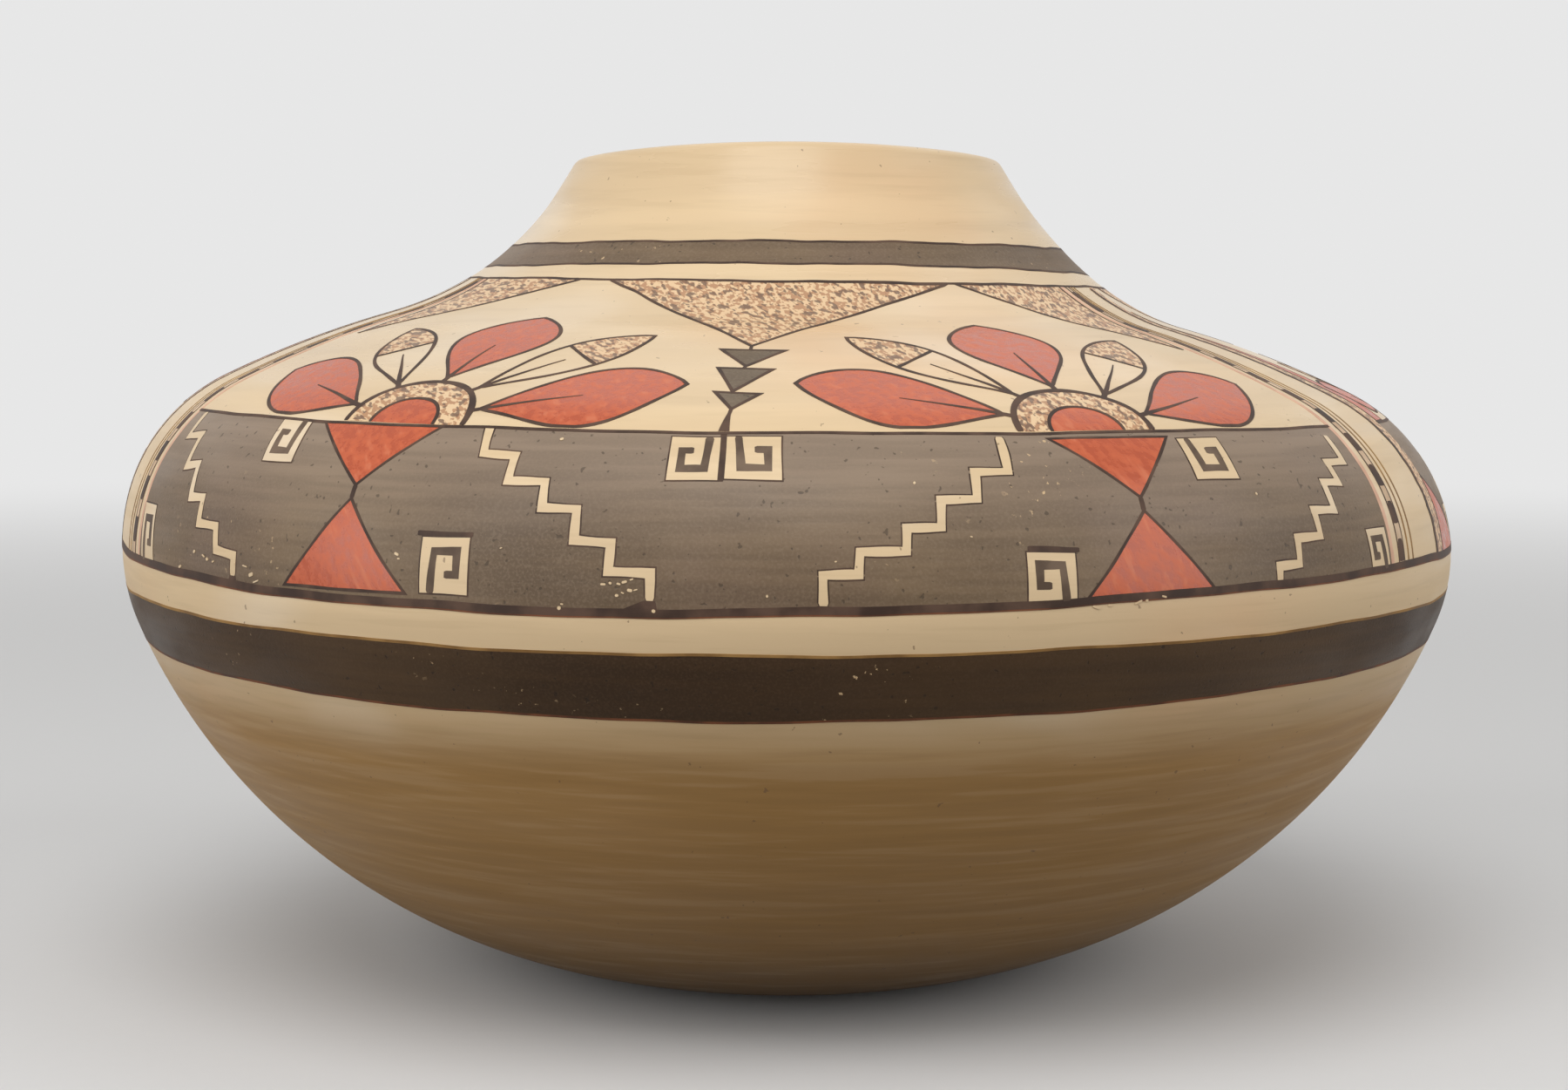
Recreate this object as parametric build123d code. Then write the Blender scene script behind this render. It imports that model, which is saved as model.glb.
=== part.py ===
from build123d import *
import math
import os

os.makedirs("parts", exist_ok=True)

# Coil-built, stone-polished pueblo jar: a wide round body that narrows to a small resting spot and
# to a short open neck. Lengths are in millimetres and angles in degrees from level. +Z is up, and
# the origin is the middle of the resting spot.

# Outline of the outside of the wall, from the resting spot up to the lip.
foot_radius = 34.0
foot_angle = 7.3
belly_radius = 124.8
lower_wall_end_angle = 67.7
belly_arc_radius = 33.6
belly_end_angle = 154.1
shoulder_end_angle = 163.9
neck_arc_radius = 53.0
lip_angle = 119.9
lip_length = 8.8
mouth_radius = 39.5

# The clay is thickest in the base and thinnest at the lip.
base_thickness = 6.5
rim_thickness = 4.2

# The floor inside is level, and reaches this far past the resting spot before the wall turns up.
floor_reach = 12.0

# Facets that stand for each arc of the outline, which keep it within half a millimetre of the arc.
lower_wall_facets = 6
belly_facets = 6
shoulder_facets = 2
neck_facets = 3
lip_facets = 1
rim_facets = 3

# Each coil is pinched down inside the one below it, so its joint slants down towards the inside.
lap_depth = 2.6

# The inside is scraped in upright strokes, side by side, and the lip is only wiped smooth.
scrape_strokes = 40

# How far the courses run on past the inside before the hollow is cut from them.
cut_overrun = 3.0

# Facets of the outline that each course of the wall takes: first the base that is pressed into a
# basin, then the coils.
puki_base_facets = 4
lower_wall_coil_facets = 2
belly_coil_facets = 3
shoulder_coil_1_facets = 3
shoulder_coil_2_facets = 2
shoulder_coil_3_facets = 2
neck_coil_facets = 1
rim_coil_facets = 1

# The courses in the order in which they are built up.
course_order = [
    ("puki_base", puki_base_facets),
    ("lower_wall_coil", lower_wall_coil_facets),
    ("belly_coil", belly_coil_facets),
    ("shoulder_coil_1", shoulder_coil_1_facets),
    ("shoulder_coil_2", shoulder_coil_2_facets),
    ("shoulder_coil_3", shoulder_coil_3_facets),
    ("neck_coil", neck_coil_facets),
    ("rim_coil", rim_coil_facets),
]


def sine(slope):
    return math.sin(math.radians(slope))


def cosine(slope):
    return math.cos(math.radians(slope))


def lower_wall_radius():
    """The arc that leaves the foot at its slope and meets the belly's arc at the given radius."""
    belly_gain = belly_arc_radius * (1 - sine(lower_wall_end_angle))
    gain = belly_radius - foot_radius - belly_gain
    return gain / (sine(lower_wall_end_angle) - sine(foot_angle))


def shoulder_radius():
    """The long shallow arc that takes up what the belly, neck and lip leave of the way in."""
    belly_loss = belly_arc_radius * (1 - sine(belly_end_angle))
    neck_loss = neck_arc_radius * (sine(lip_angle) - sine(shoulder_end_angle))
    lip_loss = -lip_length * cosine(lip_angle)
    loss = belly_radius - mouth_radius - belly_loss - neck_loss - lip_loss
    return loss / (sine(belly_end_angle) - sine(shoulder_end_angle))


def outline_stretches():
    """The outline's stretches: length, bend radius, and the point and slope where each starts.

    The radius is negative where the wall bends outwards, and zero on the straight lip."""
    arcs = [
        (lower_wall_radius(), foot_angle, lower_wall_end_angle),
        (belly_arc_radius, lower_wall_end_angle, belly_end_angle),
        (shoulder_radius(), belly_end_angle, shoulder_end_angle),
        (-neck_arc_radius, shoulder_end_angle, lip_angle),
    ]
    stretches = []
    across = foot_radius
    up = 0.0
    for radius, start, end in arcs:
        length = radius * math.radians(end - start)
        stretches.append((length, radius, across, up, start))
        across = across + radius * (sine(end) - sine(start))
        up = up + radius * (cosine(start) - cosine(end))
    stretches.append((lip_length, 0, across, up, lip_angle))
    return stretches


stretches = outline_stretches()
wall_run = sum(stretch[0] for stretch in stretches)


def wall_point(run, depth):
    """The point that lies this far along the wall from the foot, and this deep below its outside."""
    for length, radius, across, up, slope in stretches:
        if run <= length or radius == 0:
            break
        run = run - length
    if radius == 0:
        across = across + run * cosine(slope)
        up = up + run * sine(slope)
    else:
        end = slope + math.degrees(run / radius)
        across = across + radius * (sine(end) - sine(slope))
        up = up + radius * (cosine(slope) - cosine(end))
        slope = end
    return (across - depth * sine(slope), up + depth * cosine(slope))


def wall_thickness(run):
    """The clay thins evenly from the base to the lip."""
    return base_thickness + (rim_thickness - base_thickness) * run / wall_run


def corner_runs():
    """How far along the wall each corner between two facets lies, from the foot to the lip."""
    facets = [lower_wall_facets, belly_facets, shoulder_facets, neck_facets, lip_facets]
    runs = [0.0]
    for stretch, count in zip(stretches, facets):
        start = runs[-1]
        runs += [start + stretch[0] * i / count for i in range(1, count + 1)]
    return runs


def inner_point(run):
    """The point of the inside that lies straight behind this point of the outside."""
    return wall_point(run, wall_thickness(run))


def lap_end(run, overrun):
    """Where a joint that starts at this point of the outside ends, this far past the inside."""
    outside = wall_point(run, 0)
    inside = inner_point(run - lap_depth)
    stretch = 1 + overrun / wall_thickness(run)
    across = outside[0] + (inside[0] - outside[0]) * stretch
    up = outside[1] + (inside[1] - outside[1]) * stretch
    return (across, up)


def rim_points():
    """The lip's rounded top, a half circle from the outside of the wall over to the inside."""
    half = rim_thickness / 2
    middle = wall_point(wall_run - half, half)
    points = []
    for i in range(1, rim_facets + 1):
        turn = lip_angle - 90 + 180 * i / rim_facets
        points.append((middle[0] + half * cosine(turn), middle[1] + half * sine(turn)))
    return points


def turned(points):
    """One ring of clay: the closed outline turned about the jar's axis."""
    outline = Polyline(*[(across, 0, up) for across, up in points], close=True)
    return revolve(make_face(outline), Axis.Z)


def stroke_corners(run):
    """The corners between the scraper's strokes at this height, on a circle about the axis."""
    across, up = inner_point(run)
    turns = [360 * i / scrape_strokes for i in range(scrape_strokes)]
    return [(across * cosine(turn), across * sine(turn), up) for turn in turns]


def scraped_inside(corners):
    """The hollow, as the scraper leaves it: bands of flat upright strokes from floor to mouth."""
    runs = [floor_reach] + [run for run in corners if run > 2 * floor_reach]
    rings = [stroke_corners(run) for run in runs]
    faces = [Face(Wire.make_polygon(rings[0])), Face(Wire.make_polygon(rings[-1]))]
    for low, high in zip(rings, rings[1:]):
        for i in range(scrape_strokes):
            following = (i + 1) % scrape_strokes
            stroke = [low[i], low[following], high[following], high[i]]
            faces.append(Face(Wire.make_polygon(stroke)))
    return Solid(Shell(faces))


def puki_base(outside, end, hollow):
    """The dished base: a flat round spot to rest on, and the start of the wall around it."""
    top = lap_end(end, cut_overrun)
    return turned([(0, 0)] + outside + [top, (0, top[1])]) - hollow


def wall_coil(outside, start, end, hollow):
    """A coil that is pinched up into the wall, with a slanting lap below and above."""
    bottom = lap_end(start, cut_overrun)
    top = lap_end(end, cut_overrun)
    return turned(outside + [top, bottom]) - hollow


def rim_coil(start):
    """The last coil, which ends in the rounded lip."""
    outside = [wall_point(start, 0), wall_point(wall_run - rim_thickness / 2, 0)]
    return turned(outside + rim_points() + [lap_end(start, 0)])


def courses():
    """Each course by name, built up in order from the base to the lip."""
    corners = corner_runs()
    hollow = scraped_inside(corners)
    made = {}
    first = 0
    for name, facets in course_order:
        runs = corners[first : first + facets + 1]
        outside = [wall_point(run, 0) for run in runs]
        if name == "puki_base":
            made[name] = puki_base(outside, runs[-1], hollow)
        elif name == "rim_coil":
            made[name] = rim_coil(runs[0])
        else:
            made[name] = wall_coil(outside, runs[0], runs[-1], hollow)
        first += facets
    return made


for name, course in courses().items():
    export_step(course, f"parts/{name}.step")

print("wall run", round(wall_run, 1), "shoulder arc", round(shoulder_radius(), 1))
print("lower wall arc", round(lower_wall_radius(), 1))
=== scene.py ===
import bpy
import math
import numpy as np
from mathutils import Matrix, Vector


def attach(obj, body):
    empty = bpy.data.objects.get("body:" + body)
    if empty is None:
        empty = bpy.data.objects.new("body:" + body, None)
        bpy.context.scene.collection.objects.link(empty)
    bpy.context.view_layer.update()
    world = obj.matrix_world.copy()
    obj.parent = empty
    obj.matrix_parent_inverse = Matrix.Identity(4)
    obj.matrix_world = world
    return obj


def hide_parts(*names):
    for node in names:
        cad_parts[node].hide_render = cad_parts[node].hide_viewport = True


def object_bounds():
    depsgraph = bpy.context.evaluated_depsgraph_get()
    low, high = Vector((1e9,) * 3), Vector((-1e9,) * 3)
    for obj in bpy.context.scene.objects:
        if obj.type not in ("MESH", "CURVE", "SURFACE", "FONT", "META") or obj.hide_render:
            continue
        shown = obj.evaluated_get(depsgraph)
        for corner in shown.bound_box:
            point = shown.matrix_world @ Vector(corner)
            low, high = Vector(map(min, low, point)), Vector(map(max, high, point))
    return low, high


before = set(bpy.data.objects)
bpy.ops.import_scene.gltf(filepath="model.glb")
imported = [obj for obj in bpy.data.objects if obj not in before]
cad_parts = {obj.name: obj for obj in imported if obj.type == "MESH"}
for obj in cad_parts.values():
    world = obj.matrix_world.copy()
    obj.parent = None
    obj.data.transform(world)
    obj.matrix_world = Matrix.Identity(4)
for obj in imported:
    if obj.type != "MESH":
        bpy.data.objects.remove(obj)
cadLow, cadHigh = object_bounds()
print("frame loaded:", len(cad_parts), "courses of clay")

# The jar's outline from the resting spot to the lip: metres, and degrees from level
jarShape = {
    "footRadius": 0.034,
    "footAngle": 7.3,
    "lowerWallEndAngle": 67.7,
    "bellyArcRadius": 0.0336,
    "bellyEndAngle": 154.1,
    "shoulderEndAngle": 163.9,
    "neckArcRadius": 0.053,
    "lipAngle": 119.9,
    "lipLength": 0.0088,
    "mouthRadius": 0.0395,
    "baseThickness": 0.0065,
    "rimThickness": 0.0042,
    "floorReach": 0.012,
    "lapDepth": 0.0026,
    "paintRoom": 0.00015,  # the skin stays this far inside the frame's box, so that paint fits
}

# What the potter's hands did to the round outline. A pair is two runs up the wall, with a smooth
# step between them.
handShape = {
    "shoulderLift": 0.0015,  # the left shoulder stands this much higher, the right one lower
    "liftStart": (0.112, 0.150),
    "liftEnd": (0.200, 0.238),
    "rimDip": 0.0017,  # the rim isn't quite level: it dips towards both sides
    "rimStart": (0.226, 0.249),
    "rimLift": 0.0003,  # evens out the paint's room at the top
    "lipSwell": 0.05,
    "dents": 0.00007,
    "dentsAround": (3, 7, 11),
    "dentLean": 60,  # how far the dents' waves turn, in radians a metre of wall
    "dentStart": (0.02, 0.06),
    "dentEnd": (0.225, 0.245),
    "strokes": 40,  # the scraper's upright strokes inside
    "strokeDepth": 0.00035,
    "strokeStart": (0.02, 0.05),
    "strokeEnd": (0.236, 0.246),
}
sharpAngle = math.radians(35)  # an edge that bends more than this stays crisp


def outlineStretches(shape):
    # Arcs that each start at the slope where the last one ended. The lower wall and the shoulder
    # take the radius that makes their widths meet: change of width / change of the slope's sine.
    # A stretch is its first run, its length and radius, and the place and slope it starts with.
    names = ["footAngle", "lowerWallEndAngle", "bellyEndAngle", "shoulderEndAngle", "lipAngle"]
    foot, lower, belly, shoulder, lip = [math.radians(shape[name]) for name in names]
    bellyRadius = (cadHigh.x - cadLow.x) / 2 - shape["paintRoom"]
    lowerGain = bellyRadius - shape["footRadius"] - shape["bellyArcRadius"] * (1 - math.sin(lower))
    lowerRadius = lowerGain / (math.sin(lower) - math.sin(foot))
    neckLoss = shape["neckArcRadius"] * (math.sin(lip) - math.sin(shoulder))
    lipLoss = -shape["lipLength"] * math.cos(lip)
    bellyLoss = shape["bellyArcRadius"] * (1 - math.sin(belly))
    shoulderLoss = bellyRadius - shape["mouthRadius"] - bellyLoss - neckLoss - lipLoss
    shoulderRadius = shoulderLoss / (math.sin(belly) - math.sin(shoulder))
    arcs = {
        "lowerWall": (lowerRadius, foot, lower),
        "belly": (shape["bellyArcRadius"], lower, belly),
        "shoulder": (shoulderRadius, belly, shoulder),
        "neck": (-shape["neckArcRadius"], shoulder, lip),
    }
    across, up, run = shape["footRadius"], 0.0, 0.0
    stretches = {"foot": (-across, across, 0.0, 0.0, 0.0, 0.0)}  # level, from the axis out
    for name, (radius, start, end) in arcs.items():
        length = radius * (end - start)
        stretches[name] = (run, length, radius, across, up, start)
        across = across + radius * (math.sin(end) - math.sin(start))
        up = up + radius * (math.cos(start) - math.cos(end))
        run = run + length
    stretches["lip"] = (run, shape["lipLength"], 0.0, across, up, lip)
    return stretches


stretches = outlineStretches(jarShape)
wallRun = stretches["lip"][0] + stretches["lip"][1]


def wallPoint(run, depth):
    # On an arc the slope turns at a steady rate, so a point is the arc's start plus
    # radius * (sin(end) - sin(start)) across and radius * (cos(start) - cos(end)) up
    run, depth = np.broadcast_arrays(np.asarray(run, float), np.asarray(depth, float))
    across, up, slope = np.zeros(run.shape), np.zeros(run.shape), np.zeros(run.shape)
    slack = 1e-9  # for what rounding takes off a run
    for startRun, length, radius, startAcross, startUp, startSlope in stretches.values():
        here = run >= startRun - slack
        along = run[here] - startRun
        if radius == 0:
            across[here] = startAcross + along * math.cos(startSlope)
            up[here] = startUp + along * math.sin(startSlope)
            slope[here] = startSlope
        else:
            end = startSlope + along / radius
            across[here] = startAcross + radius * (np.sin(end) - math.sin(startSlope))
            up[here] = startUp + radius * (math.cos(startSlope) - np.cos(end))
            slope[here] = end
    return across - depth * np.sin(slope), up + depth * np.cos(slope)


def wallThickness(run):
    # The clay thins evenly from the base to the lip
    share = np.clip(run / wallRun, 0, 1)
    return jarShape["baseThickness"] + (jarShape["rimThickness"] - jarShape["baseThickness"]) * share


def ease(value, low, high):
    # 0 below low, 1 above high, and share * share * (3 - 2 * share) between
    share = np.clip((value - low) / (high - low), 0, 1)
    return share * share * (3 - 2 * share)


def pointCount(length, step):
    # How many points lie along this length, a step or a little less apart
    return max(2, math.ceil(length / step) + 1)


def within(run, start, end):
    # 1 between two steps of the wall, and 0 below the first and above the second
    return ease(run, *start) * (1 - ease(run, *end))


def handBuilt(across, up, azimuth, run):
    # A turned point, pushed about as hands would: azimuth 0 faces the front and turns towards +X.
    # The shoulder's lift goes with the sine, the rim's dip with its square, the dents with a few waves.
    hand = handShape
    up = up - hand["shoulderLift"] * np.sin(azimuth) * within(run, hand["liftStart"], hand["liftEnd"])
    rimMove = hand["rimLift"] - hand["rimDip"] * np.sin(azimuth) ** 2
    up = up + rimMove * ease(run, *hand["rimStart"])
    waves = [np.sin(n * azimuth + n * n + run * hand["dentLean"]) for n in hand["dentsAround"]]
    walls = within(run, hand["dentStart"], hand["dentEnd"])
    across = across + hand["dents"] * (sum(waves) / len(waves) - 1) / 2 * walls
    return np.stack([across * np.sin(azimuth), -across * np.cos(azimuth), up], axis=-1)


def skin(azimuth, run, proud=0.0):
    # The outside of the jar, or a surface that stands this far proud of it
    azimuth, run = np.broadcast_arrays(azimuth, run)
    across, up = wallPoint(run, -proud)
    return handBuilt(across, up, azimuth, run)


def skinNormal(azimuth, run):
    # Square to the skin: the cross product of small steps round the jar and up the wall
    turn, rise = 1e-3, 1e-4
    around = skin(azimuth + turn, run) - skin(azimuth - turn, run)
    normal = np.cross(around, skin(azimuth, run + rise) - skin(azimuth, run - rise))
    return normal / np.linalg.norm(normal, axis=-1, keepdims=True)


def gridFaces(ids, wrapped):
    # Quads between neighbouring rows and columns of point numbers
    right = np.roll(ids, -1, axis=1) if wrapped else ids[:, 1:]
    left = ids if wrapped else ids[:, :-1]
    return np.stack([left[:-1], right[:-1], right[1:], left[1:]], axis=-1).reshape(-1, 4)


def newObject(name, data):
    item = bpy.data.objects.new(name, data)
    bpy.context.scene.collection.objects.link(item)
    return item


def readAll(collection, key, kind, size=1):
    # One value, or size of them, from each item of a mesh
    values = np.empty(len(collection) * size, kind)
    collection.foreach_get(key, values)
    return values


def makePiece(name, points, faces, skinFaces, normals, materials, finishOfFace):
    # Faces that lie on the skin take its own normals, so that neighbours meet without a seam
    mesh = bpy.data.meshes.new(name)
    mesh.from_pydata(points.tolist(), [], faces)
    for material in materials:
        mesh.materials.append(material)
    mesh.polygons.foreach_set("material_index", finishOfFace)
    mesh.polygons.foreach_set("use_smooth", np.ones(len(faces), bool))
    mesh.set_sharp_from_angle(angle=sharpAngle)
    corner = readAll(mesh.corner_normals, "vector", np.float32, 3).reshape(-1, 3)
    onSkin = np.repeat(skinFaces, readAll(mesh.polygons, "loop_total", np.int32))
    corner[onSkin] = normals[readAll(mesh.loops, "vertex_index", np.int32)[onSkin]]
    mesh.normals_split_custom_set(corner)
    piece = newObject(name, mesh)
    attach(piece, "root")
    return piece


# Materials: each reads Object coordinates, in metres. A new node joins the tree of the socket it is for.
def newNode(socket, kind):
    return socket.id_data.nodes.new("ShaderNode" + kind)


def feed(socket, value):
    # A socket takes a number, a colour or what another socket gives
    if isinstance(value, bpy.types.NodeSocket):
        socket.id_data.links.new(value, socket)
    else:
        socket.default_value = (*value, 1.0) if socket.type == "RGBA" else value


def combine(operation, first, second):
    node = newNode(first, "Math")
    node.operation = operation
    feed(node.inputs[0], first)
    feed(node.inputs[1], second)
    return node.outputs[0]


def times(first, second):
    return combine("MULTIPLY", first, second)


def mixColour(share, first, second, blend="MIX"):
    # (1 - share) * first + share * second, or share * first * second where they multiply. A mix
    # node takes its share at socket 0 and its colours at 6 and 7, and gives a colour at 2.
    node = newNode(share, "Mix")
    node.data_type = "RGBA"
    node.blend_type = blend
    for place, value in zip((0, 6, 7), (share, first, second)):
        feed(node.inputs[place], value)
    return node.outputs[2]


def spread(value, low, high, toLow=0.0, toHigh=1.0):
    # A smooth step from toLow, where the value is low, to toHigh
    node = newNode(value, "MapRange")
    node.interpolation_type = "SMOOTHSTEP"
    for name, level in {"From Min": low, "From Max": high, "To Min": toLow, "To Max": toHigh}.items():
        feed(node.inputs[name], level)
    feed(node.inputs["Value"], value)
    return node.outputs["Result"]


def pattern(place, scale, detail=3, stretch=(1, 1, 1), shift=(0, 0, 0), turn=(0, 0, 0)):
    # Noise, finer along an axis where stretch is large. A turned one is stretched before it is turned.
    mapping, noise = newNode(place, "Mapping"), newNode(place, "TexNoise")
    turned = any(turn)
    mapping.vector_type = "TEXTURE" if turned else "POINT"
    feed(mapping.inputs["Vector"], place)
    feed(mapping.inputs["Location"], shift)
    feed(mapping.inputs["Rotation"], turn)
    feed(mapping.inputs["Scale"], [1 / s for s in stretch] if turned else stretch)
    feed(noise.inputs["Vector"], mapping.outputs["Vector"])
    feed(noise.inputs["Scale"], scale)
    feed(noise.inputs["Detail"], detail)
    return noise.outputs["Fac"]


def heightUp(place):
    # How high a place is
    split = newNode(place, "SeparateXYZ")
    feed(split.inputs["Vector"], place)
    return split.outputs["Z"]


def startMaterial(name):
    material = bpy.data.materials.new(name)
    material.use_nodes = True
    nodes = material.node_tree.nodes
    return material, nodes["Principled BSDF"], nodes.new("ShaderNodeTexCoord").outputs["Object"]


def fieldOf(fields, name, *levels):
    # A field as it is, or spread between two of its values to 0 and 1, or to two other levels
    return spread(fields[name], *levels) if levels else fields[name]


def sumOf(fields, parts):
    # weight * field + weight * field and so on
    total = None
    for weight, *part in parts:
        value = fieldOf(fields, *part)
        value = value if weight == 1 else times(value, weight)
        total = value if total is None else combine("ADD", total, value)
    return total


def makeMaterial(name, look):
    # The first colour lies all over, and each layer shows by the product of its fields
    material, shader, place = startMaterial(name)
    fields = {}
    for key, values in look["fields"].items():
        fields[key] = pattern(place, *values) if values else heightUp(place)
    for key, parts in look.get("sums", {}).items():
        fields[key] = sumOf(fields, parts)
    body = look["first"]
    for blend, colour, *shares in look["layers"]:
        share = fieldOf(fields, *shares[0])
        for other in shares[1:]:
            share = times(share, fieldOf(fields, *other))
        body = mixColour(share, body, colour, blend)
    rough, bump = look["rough"], newNode(place, "Bump")
    depth, strength = look["reliefSize"]
    feed(bump.inputs["Height"], sumOf(fields, look["relief"]))
    feed(bump.inputs["Distance"], depth)
    feed(bump.inputs["Strength"], strength)
    feed(shader.inputs["Normal"], bump.outputs["Normal"])
    feed(shader.inputs["Base Color"], body)
    feed(shader.inputs["Roughness"], sumOf(fields, rough) if isinstance(rough, list) else rough)
    feed(shader.inputs["Specular IOR Level"], look["gloss"])
    return material


# A look's fields are patterns, each by its scale, detail, stretch, shift and turn, or the height.
# Sums make more fields of them, and so do roughness and relief: weight, field and its levels. A layer
# says how it is laid on, its colour, and the fields it shows by. reliefSize is a depth and a strength.

# Cream slip above and bare tan clay below, streaked by the polishing stone along level lines
clayLook = {
    "fields": {
        "height": (),
        "clouds": (14, 3, (1, 1, 1), (0.4, 0.1, 0.7)),
        "pale": (22, 2, (1, 1, 2.2), (1.3, 0.2, 0.1)),
        "streaks": (16, 5, (0.8, 0.8, 14)),
        "rising": (90, 5, (0.42, 0.42, 9), (0.2, 0.6, 0.4), (0.035, 0.03, 0.0)),
        "falling": (70, 5, (0.42, 0.42, 10), (0.7, 0.1, 0.9), (-0.03, -0.035, 0.0)),
        "grain": (700, 2),
        "rubbing": (26, 4, (0.8, 0.8, 7), (0.3, 0.3, 0.3)),
    },
    "sums": {"slip": [(1, "height", 0.051, 0.067)], "hairs": [(0.5, "rising"), (0.5, "falling")]},
    "first": (0.405, 0.232, 0.078),  # bare clay
    "layers": [
        ("MIX", (0.71, 0.535, 0.325), ("slip",)),
        ("MIX", (0.74, 0.44, 0.235), ("clouds", 0.50, 0.72), ("slip", 0, 1, 0.06, 0.42)),  # the fire's blush
        ("MIX", (0.83, 0.70, 0.53), ("pale", 0.52, 0.75, 0, 0.5), ("slip",)),
        # painted shade: the clay turns darker towards the foot, where less light reaches the underside
        ("MIX", (0.11, 0.056, 0.017), ("height", 0.0, 0.026, 0.85, 0.0)),  # darker at the foot
        ("MULTIPLY", (0.34, 0.30, 0.26), ("streaks", 0.36, 0.64, 0.11, 0.0)),
        # fine hairs from the stone show most on the bare clay
        ("MIX", (0.66, 0.48, 0.29), ("hairs", 0.49, 0.62), ("slip", 0, 1, 0.17, 0.13)),
        ("MIX", (0.26, 0.145, 0.05), ("hairs", 0.51, 0.38), ("slip", 0, 1, 0.21, 0.08)),
        ("MIX", (0.16, 0.09, 0.05), ("grain", 0.735, 0.76, 0, 0.6)),  # specks
    ],
    "rough": [(1, "rubbing", 0.3, 0.7, 0.24, 0.38), (1, "height", 0.06, 0.12, 0.22, 0.0)],
    "gloss": 0.38,
    "relief": [(1, "streaks"), (0.3, "grain")],
    "reliefSize": (0.0001, 0.5),
}
# Bare matt clay inside, with the scraper's scratches and small grains
insideLook = {
    "fields": {"patches": (18, 4), "scratches": (55, 4, (0.6, 0.6, 9)), "grain": (900, 2)},
    "first": (0.44, 0.30, 0.17),
    "layers": [
        ("MIX", (0.60, 0.44, 0.27), ("patches", 0.35, 0.7)),
        ("MULTIPLY", (0.35, 0.3, 0.26), ("scratches", 0.35, 0.65, 0.3, 0.0)),
    ],
    "rough": 0.78,
    "gloss": 0.5,
    "relief": [(1, "scratches"), (0.5, "grain")],
    "reliefSize": (0.0004, 0.8),
}
# Red clay slip in two crossing sets of brushed streaks, rubbed to a soft gloss
redLook = {
    "fields": {
        "first": (900, 3, (0.09, 1, 1), (0.3, 0.2, 0.1), (0.5, 0.55, 0.7)),
        "second": (760, 3, (0.07, 1, 1), (0.1, 0.5, 0.3), (-0.4, 1.0, -0.5)),
        "patches": (60, 3),
    },
    "sums": {"streaks": [(0.5, "first"), (0.5, "second")]},
    "first": (0.428, 0.073, 0.022),
    "layers": [
        ("MIX", (0.54, 0.110, 0.036), ("streaks", 0.36, 0.64)),
        ("MIX", (0.46, 0.09, 0.04), ("patches", 0.38, 0.62, 0, 0.08)),
        ("MIX", (0.65, 0.245, 0.13), ("second", 0.58, 0.70, 0, 0.25)),
    ],
    "rough": [(1, "streaks", 0.35, 0.65, 0.20, 0.42)],
    "gloss": 0.45,
    "relief": [(1, "streaks")],
    "reliefSize": (0.0001, 0.5),
}
# Small dabs of red-brown and of dark paint, close together on the cream slip
speckleLook = {
    "fields": {
        "ground": (25, 3),
        "redDabs": (1350, 1.5, (1, 0.5, 1), (0, 0, 0), (0, 0, 0.4)),
        "darkDabs": (1100, 1.5, (1, 0.4, 1), (0.5, 0.2, 0.9), (0, 0, 0.5)),
    },
    "first": (0.70, 0.46, 0.25),
    "layers": [
        ("MIX", (0.76, 0.56, 0.34), ("ground",)),
        ("MIX", (0.37, 0.165, 0.07), ("redDabs", 0.48, 0.55, 0, 0.8)),
        ("MIX", (0.130, 0.066, 0.036), ("darkDabs", 0.54, 0.60, 0, 0.85)),
    ],
    "rough": 0.42,
    "gloss": 0.5,
    "relief": [(1, "redDabs", 0.48, 0.55)],
    "reliefSize": (0.00003, 0.5),
}


def brownLook(gloss, dense, thin, cool, grit, paintedSheen=None):
    # Brown mineral paint, laid on in level strokes, thin in places, pitted and here and there worn
    # through. The upper part of the register is painted paler: a painted sheen of the light from above.
    # painted sheen: a paler colour laid over the register's upper part, by height
    upper = [("MIX", paintedSheen, ("height", 0.086, 0.107, 0, 0.68), ("height", 0.124, 0.114))] if paintedSheen else []
    return {
        "fields": {
            "height": (),
            "clouds": (20, 4, (1, 1, 1.6)),
            "coolPlaces": (21, 3, (1, 1, 1), (0.6, 0.9, 0.2)),
            "strokes": (60, 4, (0.5, 0.5, 11)),
            "grain": (2300, 2),
            "pits": (900, 1, (1, 1, 1), (0.7, 0.1, 0.4)),
            "worn": (820, 3, (1, 1, 1), (0.15, 0.3, 0.2)),
            "wornPlaces": (30, 2, (1, 1, 1), (0.9, 0.4, 0.5)),
            "rubbing": (45, 4, (1, 1, 3)),
        },
        "first": dense,
        "layers": [
            ("MIX", thin, ("clouds", 0.32, 0.70)),
            ("MIX", cool, ("coolPlaces", 0.48, 0.7, 0, 0.45)),
            *upper,
            ("MULTIPLY", (0.30, 0.28, 0.26), ("strokes", 0.35, 0.65, 0.25, 0.0)),
            ("MIX", grit, ("grain", 0.42, 0.70, 0, 0.22)),
            ("MIX", [c * 0.35 for c in dense], ("pits", 0.70, 0.74, 0, 0.6)),
            ("MIX", (0.62, 0.44, 0.25), ("worn", 0.675, 0.70), ("wornPlaces", 0.56, 0.66)),
        ],
        "rough": [(1, "rubbing", 0.3, 0.7, 0.40, 0.55)],
        "gloss": gloss,
        "relief": [(1, "strokes"), (0.5, "grain"), (-0.5, "pits", 0.70, 0.74)],
        "reliefSize": (0.0001, 0.6),
    }


def lineLook(thin, thick):
    # A brush line, darker where the brush was full
    return {
        "fields": {"load": (160, 4)},
        "first": thick,
        "layers": [("MIX", thin, ("load", 0.35, 0.68))],
        "rough": [(1, "load", 0.3, 0.7, 0.5, 0.65)],
        "gloss": 0.2,
        "relief": [(1, "load")],
        "reliefSize": (0.00006, 0.5),
    }
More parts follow.
